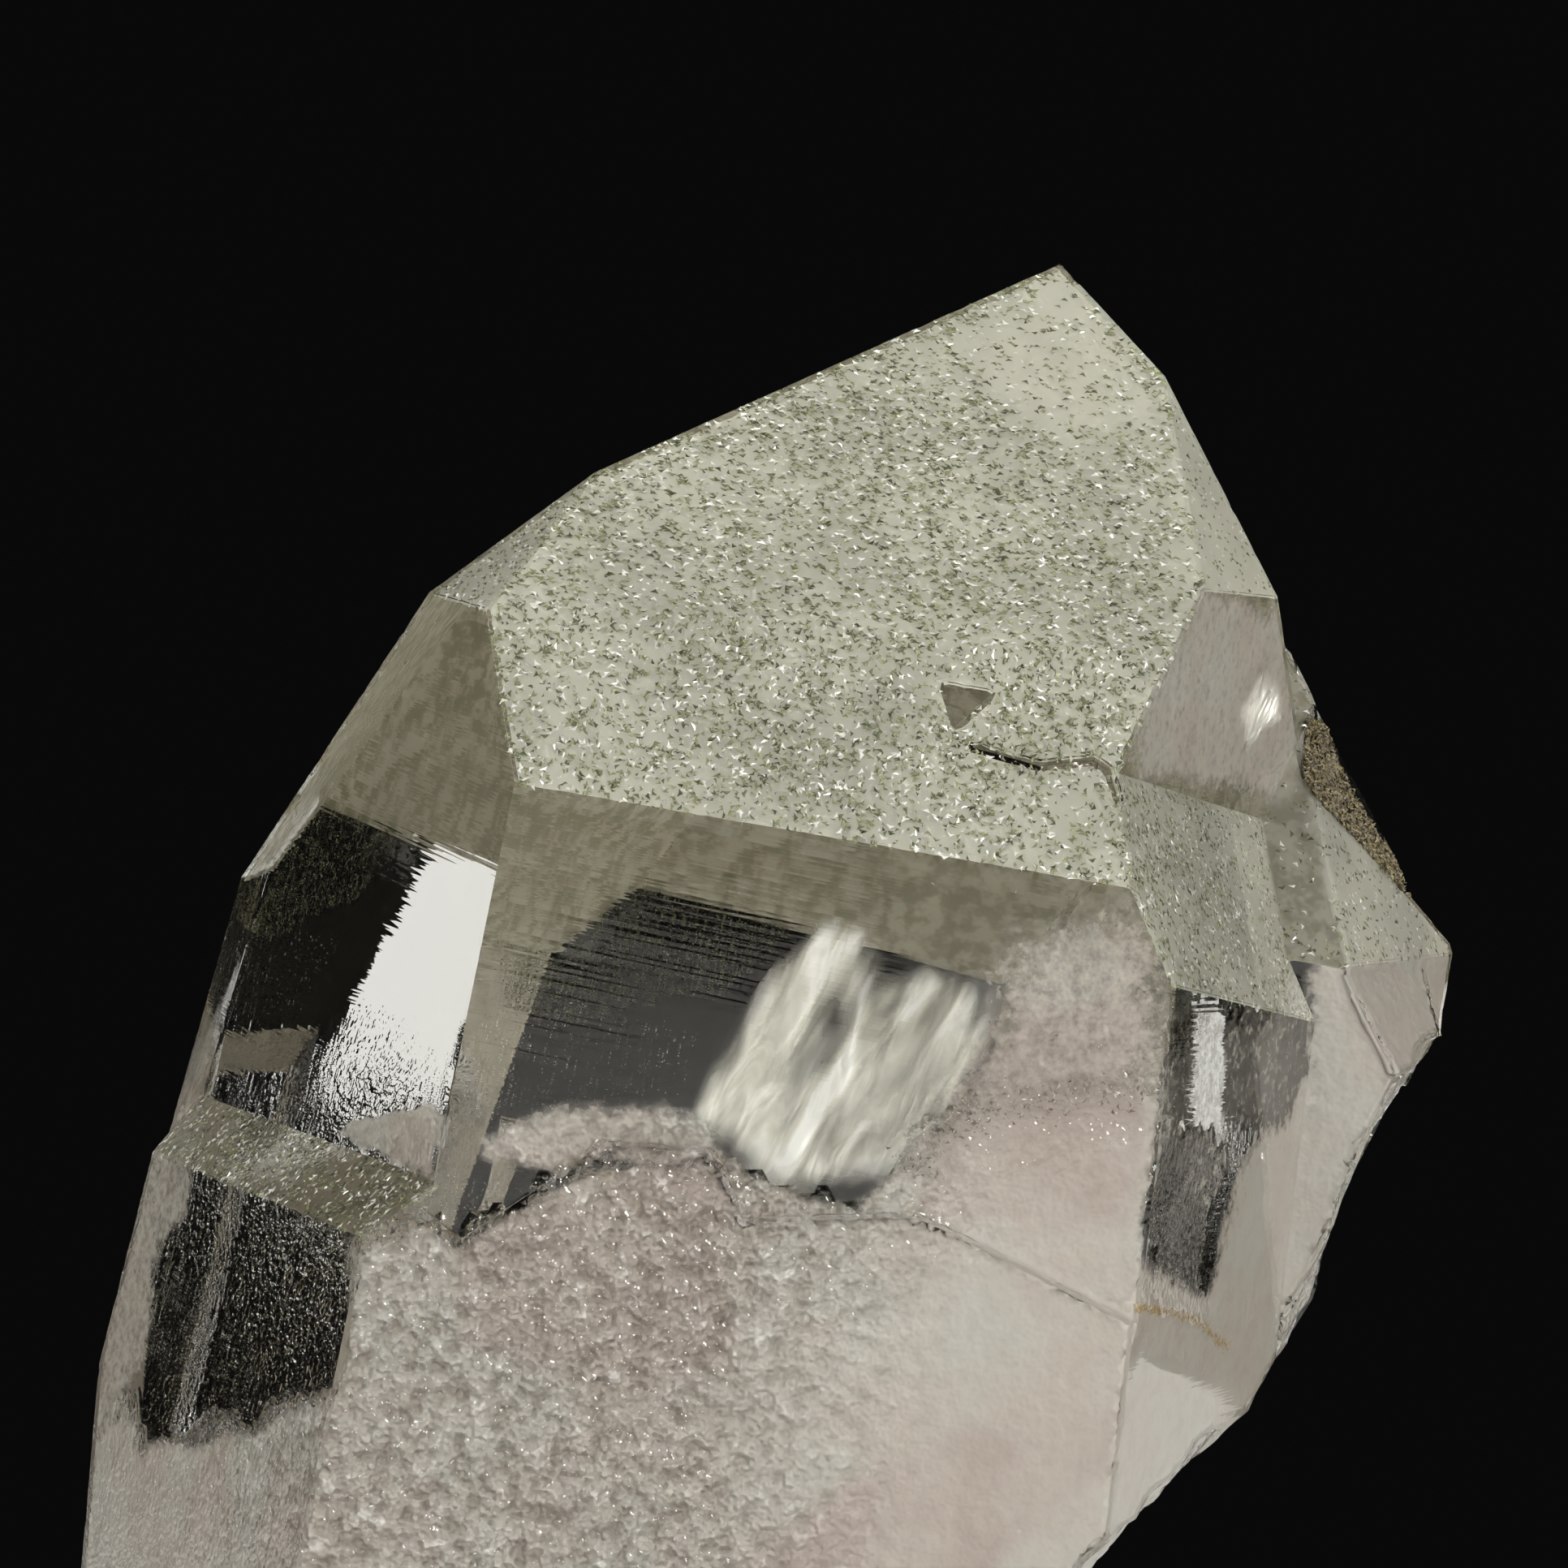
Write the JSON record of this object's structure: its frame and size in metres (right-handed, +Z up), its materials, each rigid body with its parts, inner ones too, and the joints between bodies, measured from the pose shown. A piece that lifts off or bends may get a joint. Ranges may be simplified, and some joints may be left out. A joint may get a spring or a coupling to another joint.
{
  "type": "chlorite quartz crystal",
  "caption": "Clear quartz point with stepped parallel growth, dusted inside with dark green flakes, broken on one flank and cut off flat to stand.",
  "frame": {"origin": "centre of the bounding box's bottom, on the level cut that the crystal stands on", "axes": "+Z up, -Y towards the broad front point face, and the crystal leans to +X"},
  "size_m": [0.0408, 0.0328, 0.0441],
  "materials": {
    "quartz": "natural crystal faces, glossy with fine growth lines, and frosted low down"
  },
  "bodies": {
    "root": {"quartz_crystal": "quartz"}
  },
  "joints": []
}
